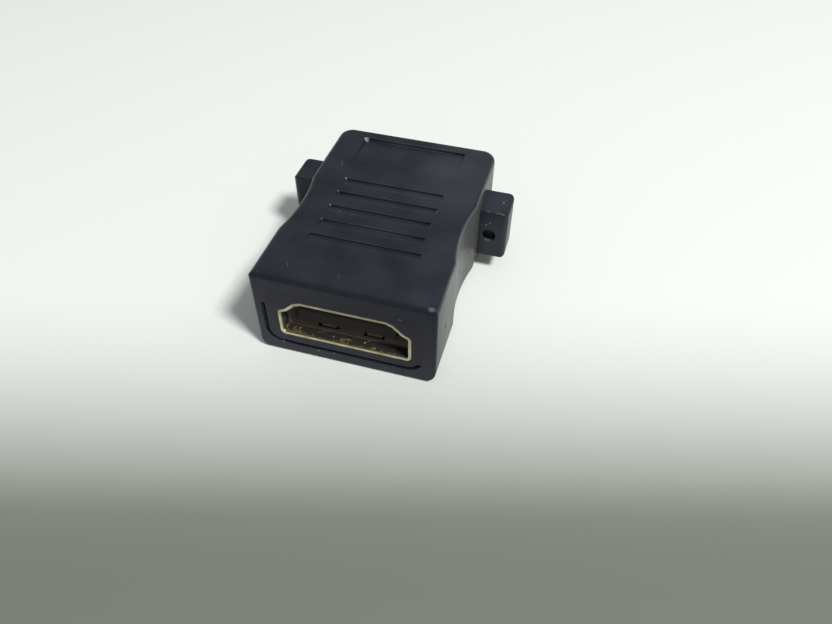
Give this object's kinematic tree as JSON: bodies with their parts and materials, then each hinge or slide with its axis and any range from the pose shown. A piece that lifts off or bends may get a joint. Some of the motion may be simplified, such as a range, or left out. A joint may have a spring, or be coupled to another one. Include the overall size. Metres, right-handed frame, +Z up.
{
  "type": "audio-video cable coupler",
  "caption": "Panel-mount coupler for digital audio-video cables: a waisted black housing with a screw ear on each side and a D-shaped socket at each end.",
  "frame": {"origin": "middle of the flat bottom, under the centre of the bounding box", "axes": "+Z up from the bottom; +Y along the length, from the front socket to the rear socket; +X across the width, an ear on each side"},
  "size_m": [0.0268, 0.0286, 0.0111],
  "materials": {
    "housing": "moulded, satin, dusty and finely scratched",
    "inner_moulding": "moulded, satin",
    "shell": "gold-plated folded sheet, bright",
    "tongue": "moulded, dull",
    "contacts": "gold-plated stamped strip",
    "board": "solder-resist green laminate"
  },
  "bodies": {
    "root": {"housing": "housing", "inner_moulding": "inner_moulding", "circuit_board": "board", "front_shell": "shell", "rear_shell": "shell", "front_tongue": "tongue", "rear_tongue": "tongue", "front_contact_01": "contacts", "front_contact_02": "contacts", "front_contact_03": "contacts", "front_contact_04": "contacts", "front_contact_05": "contacts", "front_contact_06": "contacts", "front_contact_07": "contacts", "front_contact_08": "contacts", "front_contact_09": "contacts", "front_contact_10": "contacts", "front_contact_11": "contacts", "front_contact_12": "contacts", "front_contact_13": "contacts", "front_contact_14": "contacts", "front_contact_15": "contacts", "front_contact_16": "contacts", "front_contact_17": "contacts", "front_contact_18": "contacts", "front_contact_19": "contacts", "rear_contact_01": "contacts", "rear_contact_02": "contacts", "rear_contact_03": "contacts", "rear_contact_04": "contacts", "rear_contact_05": "contacts", "rear_contact_06": "contacts", "rear_contact_07": "contacts", "rear_contact_08": "contacts", "rear_contact_09": "contacts", "rear_contact_10": "contacts", "rear_contact_11": "contacts", "rear_contact_12": "contacts", "rear_contact_13": "contacts", "rear_contact_14": "contacts", "rear_contact_15": "contacts", "rear_contact_16": "contacts", "rear_contact_17": "contacts", "rear_contact_18": "contacts", "rear_contact_19": "contacts"}
  },
  "joints": []
}
